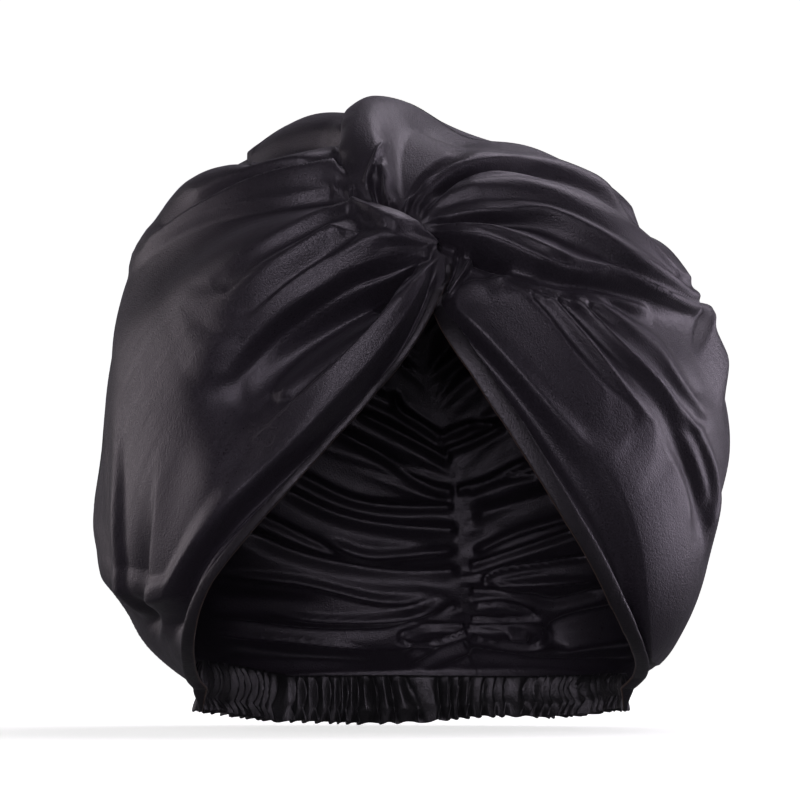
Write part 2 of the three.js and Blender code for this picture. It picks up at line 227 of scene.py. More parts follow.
RIGHT_SWELLS = [Swell(*row) for row in (
    (-40, -10, -4, 2, 84, 50, 20, 9),  # loop over the left panel
    (25, 58, 72, 3, 58, 16, 16, -4),  # crease below the loop
    (58, 74, 79, 4, 66, 18, 14, 4),  # broad band
    (118, 104, 101, 4, 50, 14, 14, 3),  # narrow folds
    (108, 92, 66, 30, 88, 14, 18, -5),  # long crease to the side
    (22, 40, 56, 18, 104, 34, 32, -8),  # flatter side of the crown
    (72, 74, 76, 72, 89, 14, 16, 6.5),  # start of the fuller side
    (8, 12, 16, 26, 74, 14, 20, -4.5),  # flatter crown
    (58, 64, 64, 46, 92, 14, 12, -7.5),  # hollow above the fuller side
    (80, 89, 96, 98, 142, 45, 30, -5),  # flatter lower side
    (120, 150, 166, 1, 32, 45, 40, -7),  # pressed down under the left panel's fold
)]
LEFT_SWELLS = [Swell(*row) for row in (
    (88, 92, 98, 1, 64, 50, 18, 8),  # fold that crosses the knot
    (134, 116, 113, 3, 78, 14, 13, -7),  # hollow below it
    (146, 132, 128, 2, 72, 13, 12, 4),  # long ridge
    (36, 44, 38, 28, 80, 12, 14, -5),  # crease of the crown
    (26, 26, 26, 30, 90, 14, 16, 2.5),  # fuller crown behind it
    (34, 37, 38, 34, 82, 14, 10, -5),  # flatter crown beside it
    (54, 70, 60, 18, 88, 14, 14, -5),  # long crease to the side
    (46, 54, 58, 24, 86, 30, 26, 4.5),  # fuller shoulder
    (62, 70, 76, 78, 112, 24, 24, -3.5),  # flatter side
    (84, 90, 96, 104, 146, 20, 20, 2.5),  # fuller lower side
    (20, 8, 0, 14, 76, 50, 22, -4),  # pressed down under the loop
    (118, 122, 110, 70, 136, 12, 12, 3),  # soft fold above the corner
)]

CREST_ROUND = 0.2  # share of a keen crest's width that is rounded


def soft(spread):
    """The height of a round crest at shares of its width."""
    return 0.5 * (1 + np.cos(np.pi * spread))


def keen(spread):
    """The height of a sharp crest at shares of its width."""
    run = np.hypot(spread, CREST_ROUND) - CREST_ROUND
    return (1 - run / (np.hypot(1, CREST_ROUND) - CREST_ROUND)) ** 2


# Lines of ridges and creases that fan out from the knot, as they show in the front view: points in pixels
# of the photograph from the knot outwards, the heights in millimetres at the first and the last point
# (negative for a crease), and the form of the crest. Between two lines the cloth runs from one height to
# the other.
FanLine = namedtuple("FanLine", "points near far form", defaults=[soft])

LEFT_KNOT = (436, 240)
LEFT_FAN = [FanLine(*row) for row in (
    ([(338, 128), (300, 131), (270, 143), (250, 158)], 2.5, 2.5),  # back of the crown
    ([(337, 142), (290, 150), (251, 160)], -2, -2, keen),
    ([(335, 151), (290, 161), (240, 175), (200, 192)], 1.5, 1.5),
    ([(331, 161), (262, 175), (200, 202), (165, 225)], -3, -0.8, keen),
    ([(334, 167), (262, 181), (200, 208), (165, 230), (140, 254)], 3.5, 0.8),  # roll of the crown
    ([(355, 188), (290, 197), (240, 205), (200, 215), (160, 236), (128, 266)], 2, 0.6),
    ([(356, 198), (290, 207), (240, 215), (200, 226), (160, 248), (124, 281)], -2, -0.5),
    ([(416, 226), (399, 221), (382, 217), (361, 204)], 7, 2),  # upper edge of the tongue
    # Fine line
    ([(350, 203), (320, 213), (290, 227), (265, 240), (240, 253), (203, 279)], 1.6, 0.5, keen),
    ([(345, 212), (305, 233), (262, 256), (228, 282)], -1.8, -0.3),
    ([(330, 228), (300, 246), (270, 263), (250, 277), (230, 294)], 2.5, 0.8, keen),  # facet
    ([(366, 224), (350, 236), (325, 254), (290, 279), (255, 309)], -1.5, -0.3),
    ([(385, 232), (350, 251), (310, 271), (270, 301), (240, 336)], 1.5, 1),  # tongue
    ([(425, 250), (385, 259), (345, 274), (305, 299), (262, 333), (225, 370)], 2.5, 2),
    ([
        (430, 258), (395, 268), (362, 278), (331, 295), (297, 319), (268, 344), (246, 372),
    ], -5, -1.5, keen),
    ([(398, 284), (340, 318), (290, 358), (255, 400)], -9, -2),  # hollow
    ([(370, 310), (345, 331), (310, 359), (283, 387)], -6, -1),
    ([(402, 284), (378, 317), (350, 344), (322, 368), (294, 395)], -8, -3),
    ([
        (404, 284), (379, 318), (353, 346), (325, 374), (298, 399), (262, 432), (222, 476), (192, 520),
        (168, 570),
    ], 2.5, 0.8),
    # Long ridge beside the hem
    ([
        (424, 284), (408, 312), (388, 340), (362, 372), (335, 400), (298, 438), (256, 478), (218, 516),
        (190, 552), (168, 592),
    ], 4, 2.5),
    # Groove beside the hem
    ([
        (427, 292), (404, 342), (382, 374), (359, 402), (321, 442), (279, 482), (237, 522), (204, 560),
        (186, 592), (177, 626),
    ], -4.5, -5.5),
    ([
        (431, 300), (413, 340), (396, 370), (375, 400), (336, 440), (294, 480), (252, 520), (216, 560),
        (198, 600), (191, 640),
    ], 1, 2.5),
)]

RIGHT_KNOT = (418, 228)
RIGHT_FAN = [FanLine(*row) for row in (
    # Lower edge of the lobe
    ([
        (418, 207), (435, 189), (455, 175), (478, 166), (510, 161), (545, 161), (590, 175), (630, 206),
    ], 3, 1),
    ([
        (424, 207), (440, 191), (460, 179), (482, 171), (515, 169), (550, 173), (585, 185), (615, 207),
        (640, 231),
    ], -3.5, -2),
    # Broad band
    ([
        (431, 211), (446, 195), (463, 183), (490, 175), (519, 178), (555, 188), (585, 198), (615, 216),
        (643, 237), (665, 262), (677, 277),
    ], 1.5, 1.6, keen),
    ([(470, 196), (520, 200), (570, 212), (620, 237), (654, 258), (688, 287)], 0.6, 0.3),
    ([
        (440, 218), (470, 214), (505, 213), (539, 211), (562, 217), (597, 234), (631, 255), (665, 276),
        (690, 296),
    ], 2.2, 1.8),
    # Pocket
    ([
        (436, 223), (480, 220), (520, 222), (550, 230), (574, 244), (605, 256), (640, 275), (665, 287),
        (692, 303),
    ], -4, 0),
    ([
        (430, 228), (455, 225), (482, 227), (505, 232), (528, 240), (555, 253), (580, 264), (620, 272),
        (655, 288), (690, 306),
    ], 2, 1.8, keen),
    ([(432, 230), (482, 232), (520, 246), (560, 262)], 0, 0.5),
    ([
        (434, 233), (455, 233), (482, 237), (505, 244), (530, 255), (560, 267), (586, 274),
    ], 2.5, 1.5, keen),
    # Slit
    ([
        (440, 243), (466, 249), (500, 262), (532, 272), (560, 281), (597, 286), (643, 298), (692, 313),
        (722, 332),
    ], -3.5, -1.8),
    ([(462, 268), (490, 279), (520, 283), (560, 290), (600, 294), (643, 305)], -0.5, -0.8),
    ([(628, 308), (668, 338), (697, 388)], -2.5, -0.8),
    ([(600, 308), (632, 329), (657, 349), (675, 376), (702, 413)], 2.2, 1, keen),  # side folds
    ([(592, 309), (615, 331), (645, 357), (668, 383), (694, 418)], -0.5, -0.3),
    ([(580, 305), (610, 335), (640, 363), (662, 385), (692, 427)], 2.4, 1, keen),
    ([(566, 302), (600, 339), (640, 381), (668, 420)], -2.5, -1),
    ([(552, 302), (570, 322), (600, 357), (625, 390), (650, 420)], 2.4, 0.6, keen),
    ([(538, 300), (556, 321), (600, 374), (630, 405)], -0.8, -0.3),
    ([(524, 294), (534, 304), (548, 320), (570, 349), (600, 384)], 1.6, 0.3, keen),
    ([(480, 292), (510, 330), (550, 380), (590, 425)], 0.8, 0.3),
    ([
        (458, 310), (480, 330), (510, 362), (545, 402), (575, 436), (605, 470), (627, 516), (637, 558),
        (641, 606), (645, 655),
    ], 1.5, 3, keen),
    # Valley beside the hem
    ([
        (441, 308), (462, 332), (492, 366), (522, 402), (556, 450), (592, 509), (618, 564), (632, 614),
        (640, 650),
    ], -3.5, -2.5),
    ([
        (437, 322), (462, 356), (492, 396), (520, 436), (550, 482), (580, 529), (605, 574), (628, 629),
        (640, 666),
    ], 1, 1),
)]

# Other folds in the front view: points of the crest in pixels of the photograph, the widths above and
# below it in pixels, once or at its start and at its end, the height in millimetres, the shares of the
# line over which it rises and dies away, and the form of the crest
Fold = namedtuple("Fold", "crest above below height rise fall form", defaults=[soft])

LEFT_FOLDS = [Fold(*row) for row in (
    ([(160, 440), (159, 510), (155, 585), (158, 650)], 7, (40, 26), 2.4, 0.6, 0.1, keen),
    ([(153, 470), (150, 560), (152, 640)], (26, 18), 6, -3, 0.6, 0.15),
    ([(114, 380), (119, 470), (121, 540), (128, 590), (146, 630)], (9, 7), (11, 9), 3.4, 0.6, 0.1),
)]

RIGHT_FOLDS = [Fold(*row) for row in (
    # Lobe of the loop
    ([(386, 138), (375, 160), (363, 187)], (6, 5), (6, 5), 3.5, 0.4, 0.2, keen),
    ([(372, 178), (376, 192), (382, 207)], 8, 7, -5, 0.2, 0.2),
    ([(376, 164), (383, 178), (384, 195), (391, 213)], (14, 12), 3, 4, 0.2, 0.1),
    ([(440, 174), (415, 196), (403, 217)], 5, 5, 3, 0.4, 0.1, keen),
    ([(480, 158), (448, 164), (424, 180), (408, 204)], (12, 7), (7, 5), -3, 0.5, 0.2),
    # Narrow folds under the knot
    ([(474, 244), (469, 263), (456, 285), (441, 303)], (6, 4), (6, 4), 5, 0.15, 0.15),
    ([(461, 243), (456, 266), (444, 295)], (6, 5), (6, 5), -4.5, 0.1, 0.2),
    ([(466, 250), (490, 261), (516, 269)], (11, 9), (12, 7), -7, 0.15, 0.3),
    ([(443, 303), (468, 285), (488, 281), (514, 273)], 5, (24, 30), 2.2, 0.1, 0.2, keen),
    # Lower side
    ([(660, 400), (690, 470), (700, 510), (695, 560)], (10, 8), (16, 14), -4, 0.5, 0.4),
    ([(676, 390), (702, 448), (712, 490), (709, 522), (701, 565)], (10, 8), 6, 3, 0.5, 0.3),
)]

# Folds of the back seen through the face opening: positive heights stand towards the eye
BACK_FOLDS = [Fold(*row) for row in (
    # Left of the seam, from the top
    ([(393, 388), (398, 408), (412, 420), (442, 439)], (8, 10), (8, 10), 3.5, 0.15, 0.05, keen),
    ([(350, 408), (400, 433), (430, 449), (452, 462)], 11, 10, 4, 0.2, 0.05, keen),
    ([(325, 426), (375, 452), (400, 470), (430, 486), (456, 494)], (14, 11), 10, 4, 0.2, 0.05, keen),
    ([
        (280, 466), (330, 492), (360, 503), (400, 508), (456, 507),
    ], (12, 10), (10, 8), 3.5, 0.2, 0.05, keen),
    ([(265, 480), (320, 508), (355, 520), (400, 528), (460, 531)], (10, 14), 14, 3.5, 0.2, 0.05, keen),
    ([(240, 506), (300, 535), (352, 561)], 8, 8, 2.5, 0.2, 0.3, keen),
    ([(320, 540), (370, 556), (430, 552), (460, 548)], (10, 8), 8, -3.5, 0.2, 0.1),
    ([(222, 520), (280, 548), (330, 563), (390, 572), (462, 573)], 11, (17, 14), 4, 0.2, 0.05, keen),
    ([(210, 572), (300, 582), (380, 600), (440, 598)], 6, 7, -3, 0.2, 0.2),
    ([(205, 598), (280, 602), (340, 603)], (17, 10), (17, 8), 2.5, 0.2, 0.5),
    ([(260, 612), (330, 618), (400, 616), (450, 600)], (5, 7), 7, -3.5, 0.3, 0.15),
    ([(205, 618), (300, 632), (380, 632), (420, 622), (462, 605)], (6, 7), (14, 10), 3, 0.2, 0.05, keen),
    ([(205, 632), (300, 641), (390, 653)], 3, 5, -2, 0.2, 0.4, keen),
    ([(396, 639), (430, 628), (466, 629)], 6, 5, 3, 0.1, 0.05, keen),
    ([(396, 641), (415, 646), (446, 640), (468, 632)], 3, 5, 3, 0.1, 0.05, keen),
    ([(400, 655), (440, 656), (470, 645)], 7, 10, 3, 0.2, 0.1),
    ([(408, 682), (432, 666), (470, 650)], 7, 8, 3, 0.1, 0.1),
    ([(408, 684), (440, 679), (474, 665)], 6, 10, 2.5, 0.1, 0.1),
    ([(205, 655), (300, 668), (390, 672)], (17, 12), (17, 14), 3, 0.2, 0.4),
    # Right of the seam, from the top
    ([(440, 439), (465, 427), (500, 422)], 8, 8, 3.5, 0.05, 0.2, keen),
    ([(444, 452), (470, 442), (510, 424)], 6, 10, 3.5, 0.05, 0.2, keen),
    ([(456, 491), (490, 480), (535, 458)], (7, 11), (8, 10), 4, 0.05, 0.2, keen),
    ([(466, 494), (500, 480), (540, 472)], 4, (6, 8), 3, 0.1, 0.2, keen),
    ([(470, 515), (515, 508), (570, 490)], 17, 24, 3.5, 0.15, 0.2),
    ([(472, 552), (520, 531), (585, 512)], 6, 6, -4, 0.1, 0.2),
    ([(468, 567), (500, 556), (530, 546), (590, 526)], 7, 8, 3.5, 0.05, 0.2, keen),
    ([(480, 583), (500, 571), (540, 565), (600, 556)], (4, 5), 6, 3.5, 0.05, 0.2, keen),
    ([(490, 586), (540, 582), (600, 578)], 5, 5, -3, 0.1, 0.2),
    ([(468, 593), (500, 593), (530, 596), (560, 602), (620, 586)], (6, 8), 10, 3.5, 0.05, 0.2, keen),
    ([(472, 606), (500, 603), (530, 612), (540, 620)], 4, 5, 2.5, 0.1, 0.2, keen),
    ([(470, 620), (510, 620), (545, 616)], 3, 4, 2.5, 0.05, 0.2, keen),
    ([
        (466, 629), (500, 628), (536, 629), (546, 636), (540, 647), (520, 649), (490, 644), (470, 638),
    ], 4, 4, 3.5, 0.03, 0.05, keen),
    ([(505, 637), (530, 638)], 6, 6, -3, 0.2, 0.2),
    ([(545, 631), (575, 618), (640, 605)], 8, 17, 3, 0.1, 0.2, keen),
    ([(550, 648), (590, 640), (640, 635)], 12, 12, -3.5, 0.2, 0.2),
    ([(468, 655), (500, 663), (540, 670), (600, 668), (645, 660)], (6, 7), (17, 20), 3.5, 0.05, 0.2),
    ([(472, 690), (488, 680), (503, 694), (522, 700)], 4, 4, 2.5, 0.1, 0.1, keen),
)]

# Gathers of the centre seam: the angle over the crown from one to the next, their height and how far they
# reach from the seam
Gather = namedtuple("Gather", "pitch height reach phase")
GATHERS = [Gather(11, 3.2, 105, 0.0), Gather(5.6, 2.2, 52, 0.35), Gather(3.4, 1.0, 20, 0.1)]
GATHER_WANDER = [Wave(1.6, 0.21, 1), Wave(1.1, 0.47, 2)]
GATHER_STARTS = (20, 62)  # angles over the crown between which they grow
GATHER_SLANT = 0.02  # degrees for each millimetre from the seam
GATHER_CREST = 0.25  # share of a second wave that makes one side of each gather steeper
GATHER_NEAR = 0.25  # shares of the reach at which they are full, and from which they die away
GATHER_FAR = 0.35
GATHER_BELOW = 0.3  # shares of their height low down, on the inside and on the outer layer
GATHER_OUTSIDE = 0.85
GATHER_CHANGE = (135, 165)  # heights between which those grow to the full
GATHER_FAN_FROM = 120  # angle from which they fan out, and how fast
GATHER_FAN = 0.008
PINCH_REACH = 8
PINCH = 3
# The seam wanders to the right on its way down the back: its places at heights
SEAM_PLACE = Edge(
    (18, 28), (34, 21), (47, 24), (62, 18), (84, 21), (105, 20), (118, 16), (147, 5), (190, 0), (250, 0),
)

# The fans: their depth, the pixels over which a line rises before its first point and dies away past its
# last, the reach from the knot at which they are full, and the degrees that a lone line fills to each side
FAN_DEPTH = 1.3
FAN_RISE = 40
FAN_FALL = 70
FAN_FULL = 70
FAN_MARGIN = 20
# How far cloth faces the eye, or away from it, where the folds of the front and of the back come in
FACES_FRONT = (-0.25, 0.1)
FACES_BACK = (0.05, 0.4)
BACK_FOOT = (-1, 5)  # heights above the rim between which the folds of the back come in
# The back's bulge over the casing at places from left to right, how deep it is, how far down it hangs and
# how far its lower edge curls outwards
BULGE = Edge((-92, 0), (-70, 0.15), (-30, 0.6), (0, 0.85), (35, 1), (60, 0.8), (88, 0.2))
BULGE_DEPTH = 4.5
BULGE_DROP = 10
BULGE_CURL = 2.5
BULGE_STARTS = (20, 60)  # places from front to back between which it comes in
BULGE_TOP = (2, 16)  # heights above the rim between which it ends


class Panel:
    """A panel in polar places about its knot: a distance from it and an angle from straight up."""

    def __init__(self, knot, side, start, pinch, swells, fan, folds, face_edge, hem_width):
        knot_x, knot_z = knot
        depth = (1 - abs((knot_z - CENTRE_Z) / UP) ** UP_POWER) ** (1 / UP_POWER)
        pole = np.array([knot_x, -FRONT * depth, knot_z])
        self.middle = lerp(pole, NECK_CENTRE, MIDDLE_SHARE)
        self.axis = unit(pole - self.middle)
        self.upward = unit(UPWARD - self.axis * (UPWARD @ self.axis))
        self.outward = np.cross(self.upward, self.axis) * side
        self.side = side
        self.start = start
        self.pinch = pinch
        self.swells = swells
        self.fan = fan
        self.folds = folds
        self.face_edge = face_edge
        self.hem_width = hem_width

    def point(self, distance, angle):
        """The form's surface at a distance and an angle, both in degrees."""
        distance, angle = np.radians(distance), np.radians(angle)
        direction = np.cos(distance)[..., None] * self.axis
        direction = direction + (np.sin(distance) * np.cos(angle))[..., None] * self.upward
        direction = direction + (np.sin(distance) * np.sin(angle))[..., None] * self.outward
        return form_point(self.middle, direction)

    def polar(self, point):
        """The distance, the angle and the millimetres from the axis of points."""
        ray = point - self.middle
        up, out = ray @ self.upward, ray @ self.outward
        radius = np.hypot(up, out)
        return np.degrees(np.arctan2(radius, ray @ self.axis)), np.degrees(np.arctan2(out, up)), radius

    def swell_height(self, distance, angle):
        """The height that the broad forms add."""
        height = -self.pinch * np.exp(-((distance / KNOT_REACH) ** 2))
        for swell in self.swells:
            run = (distance - swell.start) / (swell.end - swell.start)
            bend = 4 * (swell.middle - (swell.near + swell.far) / 2)
            aside = angle - (lerp(swell.near, swell.far, run) + bend * run * (1 - run))
            spread = np.minimum(np.abs(aside) / np.where(aside < 0, swell.above, swell.below), 1)
            fade = between(run, 0, SWELL_RISE, 1 - SWELL_FALL, 1)
            height = height + swell.height * fade * soft(spread)
        return height


def crest_line(points, steps=8):
    """A smooth line through points."""
    points = np.array(points, float)
    padded = np.vstack([2 * points[0] - points[1], points, 2 * points[-1] - points[-2]])
    share = np.linspace(0, 1, steps, endpoint=False)[:, None]
    line = []
    for a, b, c, d in zip(padded, padded[1:], padded[2:], padded[3:]):
        line.append(0.5 * (2 * b + (c - a) * share + (2 * a - 5 * b + 4 * c - d) * share**2
                           + (3 * b - a - 3 * c + d) * share**3))
    return np.vstack(line + [points[-1:]])


def fold_height(fold, view):
    """The height that a fold adds at places of the front view."""
    line = crest_line(fold.crest)
    above, below = np.broadcast_to(fold.above, 2), np.broadcast_to(fold.below, 2)
    reach = max(*above, *below)
    low, high = line.min(0) - reach, line.max(0) + reach
    height = np.zeros(view.shape[:-1])
    near = np.all((view > low) & (view < high), -1)
    places = view[near]
    if not len(places):
        return height
    start, step = line[:-1], np.diff(line, axis=0)
    length = np.linalg.norm(step, axis=1)
    along = np.clip(((places[:, None] - start) * step).sum(-1) / length**2, 0, 1)
    gap = places[:, None] - (start + along[..., None] * step)
    distance = np.linalg.norm(gap, axis=-1)
    best = distance.argmin(1)
    rows = np.arange(len(places))
    run = (np.cumsum(length)[best] - length[best] * (1 - along[rows, best])) / length.sum()
    cross = step[best, 0] * gap[rows, best, 1] - step[best, 1] * gap[rows, best, 0]
    upper = cross * (line[-1, 0] - line[0, 0]) < 0
    width = np.where(upper, lerp(*above, run), lerp(*below, run))
    profile = fold.form(np.minimum(distance[rows, best] / width, 1))
    height[near] = fold.height * between(run, 0, fold.rise, 1 - fold.fall, 1) * profile
    return height


class Fan:
    """The heights between the lines of a fan."""

    def __init__(self, knot, side, lines):
        self.knot = np.array(knot)
        self.side = side
        self.lines = lines
        self.courses = []
        for line in lines:
            reach, angle = self.polar(crest_line(line.points))
            order = reach.argsort()
            self.courses.append((reach[order], angle[order]))

    def polar(self, view):
        """The reach from the knot in pixels and the angle down from level in degrees."""
        across, down = (view[..., 0] - self.knot[0]) * self.side, view[..., 1] - self.knot[1]
        return np.hypot(across, down), np.degrees(np.arctan2(down, across))

    def height(self, view):
        """The height that the fan adds at places of the front view."""
        reach, angle = self.polar(view)
        angles, fades, heights = [], [], []
        for line, (course_reach, course_angle) in zip(self.lines, self.courses):
            first, last = course_reach[0], course_reach[-1]
            fade = between(reach, first - FAN_RISE, first, last, last + FAN_FALL)
            run = np.clip((reach - first) / (last - first), 0, 1)
            angles.append(np.interp(reach, course_reach, course_angle))
            fades.append(fade)
            heights.append(lerp(line.near, line.far, run) * fade)
        made = np.zeros(reach.shape)
        for line, own, height in zip(self.lines, angles, heights):
            above = np.full(reach.shape, float(FAN_MARGIN))
            below = above.copy()
            for other, fade in zip(angles, fades):
                gap = own - other
                room = np.abs(gap) + (1 - fade) * FAN_MARGIN
                above = np.where(gap > 0, np.minimum(above, room), above)
                below = np.where(gap < 0, np.minimum(below, room), below)
            aside = angle - own
            width = np.maximum(np.where(aside < 0, above, below), 1e-3)
            made += height * line.form(np.minimum(np.abs(aside) / width, 1))
        return made * np.minimum(reach / FAN_FULL, 1)


RIGHT = Panel(
    knot=(0, 198), side=1, start=0.02, pinch=3, swells=RIGHT_SWELLS, folds=RIGHT_FOLDS,
    fan=Fan(RIGHT_KNOT, 1, RIGHT_FAN), face_edge=RIGHT_FACE_EDGE, hem_width=RIGHT_HEM_WIDTH,
)
LEFT = Panel(
    knot=(12.5, 186), side=-1, start=2, pinch=1, swells=LEFT_SWELLS, folds=LEFT_FOLDS,
    fan=Fan(LEFT_KNOT, -1, LEFT_FAN), face_edge=LEFT_FACE_EDGE, hem_width=LEFT_HEM_WIDTH,
)


def from_seam(point):
    """How far to the right of the centre seam points lie."""
    return point[..., 0] - SEAM_PLACE(point[..., 2]) * (point[..., 1] > 0)


def gather_height(panel, point, below):
    """The height that the gathers of the centre seam add, with a share of it left below."""
    over = np.degrees(np.arctan2(point[..., 1], point[..., 2] - CENTRE_Z))
    aside = np.abs(from_seam(point))
    fanned = GATHER_FAN_FROM + (over - GATHER_FAN_FROM) / (1 + GATHER_FAN * aside)
    place = fanned + wander(fanned, GATHER_WANDER, panel.side) + GATHER_SLANT * aside
    height = -PINCH * np.exp(-((aside / PINCH_REACH) ** 2))
    for gather in GATHERS:
        turn = 2 * np.pi * (place / gather.pitch + gather.phase * panel.side)
        wave = np.cos(turn) + GATHER_CREST * np.cos(2 * turn + 1)
        fade = between(aside, 0, GATHER_NEAR * gather.reach, GATHER_FAR * gather.reach, gather.reach)
        height = height + gather.height * wave * fade
    left = lerp(below, 1, smoothstep(point[..., 2], *GATHER_CHANGE))
    return smoothstep(over, *GATHER_STARTS) * height * left


def bulge(point):
    """How far the back bulges inwards and down over the casing, from 0 to 1."""
    return BULGE(point[..., 0]) * smoothstep(point[..., 1], *BULGE_STARTS)


def plain_height(panel, point, inside=True):
    """The height of a panel's inside or outer layer above the form, before it is laid on its neighbour."""
    distance, angle, _ = panel.polar(point)
    height = panel.swell_height(distance, angle)
    normal = form_normal(point)
    view = front_view(point + normal * height[..., None])
    front = smoothstep(-normal[..., 1], *FACES_FRONT)
    for fold in panel.folds:
        height = height + front * fold_height(fold, view)
    height = height + FAN_DEPTH * front * panel.fan.height(view)
    above_rim = point[..., 2] - rim_height(point)
    ease = smoothstep(above_rim, 0, RIM_EASE)
    height = ease * (height + gather_height(panel, point, GATHER_BELOW if inside else GATHER_OUTSIDE))
    if not inside:
        return height + OUTER_LIFT * ease
    back = smoothstep(normal[..., 1], *FACES_BACK) * smoothstep(above_rim, *BACK_FOOT)
    for fold in BACK_FOLDS:
        height = height - back * fold_height(fold, view)
    return height - BULGE_DEPTH * bulge(point) * (1 - smoothstep(above_rim, *BULGE_TOP))


def past_loop_edge(point):
    """How far points lie past the right panel's upper edge, in millimetres on the right panel's side."""
    distance, angle, radius = RIGHT.polar(point)
    return np.radians(angle - right_upper(distance)) * radius


SAMPLES = np.linspace(0, 175, 701)  # distances at which edges are worked out


def crossing(panel, value, low, high):
    """The angle between bounds, at each sampled distance, at which a value of points turns positive."""
    return halve(SAMPLES.shape, low, high, lambda angle: value(panel.point(SAMPLES, angle)) > 0)


RIGHT_SEAM_ANGLES = crossing(RIGHT, from_seam, low=-50, high=50)


def right_upper(distance):
    """The angle of the right panel's upper edge: the loop, then the centre seam."""
    seam = np.interp(distance, SAMPLES, RIGHT_SEAM_ANGLES)
    return lerp(RIGHT_UPPER_EDGE(distance), seam, smoothstep(distance, *LOOP_TO_SEAM))


def left_clear(point):
    """How far points lie within the left panel's edge under the loop, in millimetres."""
    return UNDERLAP(RIGHT.polar(point)[0]) - past_loop_edge(point)


LEFT_LOOP_ANGLES = crossing(LEFT, left_clear, low=-60, high=90)


def left_upper(distance):
    """The angle of the left panel's upper edge: its fold over the knot, then under the loop to the seam."""
    under = np.interp(distance, SAMPLES, LEFT_LOOP_ANGLES)
    return lerp(LEFT_FOLD_EDGE(distance), under, smoothstep(distance, LEFT_FOLD_END, LEFT_LOOP_START))


def face_angle(panel, distance):
    """The angle at which a panel meets its hem."""
    angle = panel.face_edge(distance)
    point = panel.point(distance, angle)
    radius = panel.polar(point)[2]
    covered = lerp(TURNED_COVER, FLAT_COVER, smoothstep(point[..., 2], *HEM_TURN))
    return angle - np.degrees(covered * panel.hem_width(distance) / np.maximum(radius, LEAST_RADIUS))


def cloth_height(panel, point):
    """The height of a panel's cloth, rolled down where it lies on the other panel."""
    height = plain_height(panel, point)
    if panel is RIGHT:
        distance = RIGHT.polar(point)[0]
        inside = np.clip(past_loop_edge(point) / LOOP_REACH, 0, 1)
        fade = between(distance, LOOP_FROM, LOOP_FULL, LOOP_EASES, LOOP_UNTIL)
        below = plain_height(LEFT, point) + SEAT
    else:
        distance, angle, radius = LEFT.polar(point)
        inside = np.clip(np.radians(angle - LEFT_FOLD_EDGE(distance)) * radius / TUCK_REACH, 0, 1)
        fade = 1 - smoothstep(distance, LEFT_FOLD_EASES, LEFT_LOOP_START)
        below = plain_height(RIGHT, point) + SEAT
    fade = np.where(inside < 1, fade, 0)
    rounded = np.sqrt(1 - (1 - inside) ** 2)
    return lerp(height, lerp(below, np.maximum(height, below), rounded), fade)


RIM_SEARCH = (85, 172)  # distances between which the rim lies


def rim_distance(panel, upper, share, above):
    """The distance at which columns of a panel come down to a height above the rim."""

    def is_down(distance):
        point = panel.point(distance, lerp(upper(distance), face_angle(panel, distance), share))
        return point[..., 2] <= rim_height(point) + above

    return halve(share.shape, *RIM_SEARCH, is_down)


def add_object(name, data):
    """A new object of the scene."""
    added = bpy.data.objects.new(name, data)
    bpy.context.scene.collection.objects.link(added)
    return added


def cloth_object(name, points, uv, faces):
    """A smooth mesh object through points in millimetres, with a place on the cloth for each."""
    mesh = bpy.data.meshes.new(name)
    mesh.from_pydata((points * MM).tolist(), [], faces)
    layer = mesh.uv_layers.new(name="cloth")
    corners = np.concatenate(faces)
    layer.data.foreach_set("uv", uv[corners].astype(np.float32).ravel())
    mesh.polygons.foreach_set("use_smooth", np.ones(len(faces), bool))
    mesh.update()
    return add_object(name, mesh)


def grid_mesh(name, points, uv, kept=None):
    """A mesh object through a grid of points, or through the kept ones."""
    rows, columns = points.shape[:2]
    index = np.arange(rows * columns).reshape(rows, columns)
    quads = np.stack([index[:-1, :-1], index[:-1, 1:], index[1:, 1:], index[1:, :-1]], -1).reshape(-1, 4)
    points, uv = points.reshape(-1, 3), uv.reshape(-1, 2)
    if kept is not None:
        quads = quads[kept.ravel()[quads].any(1)]
        used, places = np.unique(quads, return_inverse=True)
        points, uv, quads = points[used], uv[used], places.reshape(-1, 4)
    return cloth_object(name, points, uv, quads.tolist())


def tube_mesh(name, rings, uv):
    """A closed tube through rings of points, with flat ends."""
    count, sides = rings.shape[:2]
    index = np.arange(count * sides).reshape(count, sides)
    turned = np.roll(index, -1, axis=1)
    quads = np.stack([index[:-1], turned[:-1], turned[1:], index[1:]], -1).reshape(-1, 4)
    ends = [index[0][::-1].tolist(), index[-1].tolist()]
    return cloth_object(name, rings.reshape(-1, 3), uv.reshape(-1, 2), quads.tolist() + ends)


# Panels: rows up to each stop and to the rim, columns from the seam to the hem and how much closer they
# lie at the seam, and rows of the bulge's hanging edge with the cloth in it
PANEL_STOPS = (45, 85)
PANEL_ROWS = (95, 60, 175)
PANEL_COLUMNS = 286
COLUMN_EASE = 1.25
TAIL_ROWS = 8
TAIL_CLOTH = 8
# The outer layer of the back
OUTER_FROM = 50
OUTER_ROWS = 190
OUTER_COLUMNS = 190
OUTER_BLEND = (0, 0.35)  # slopes away from the eye between which it comes off the inside


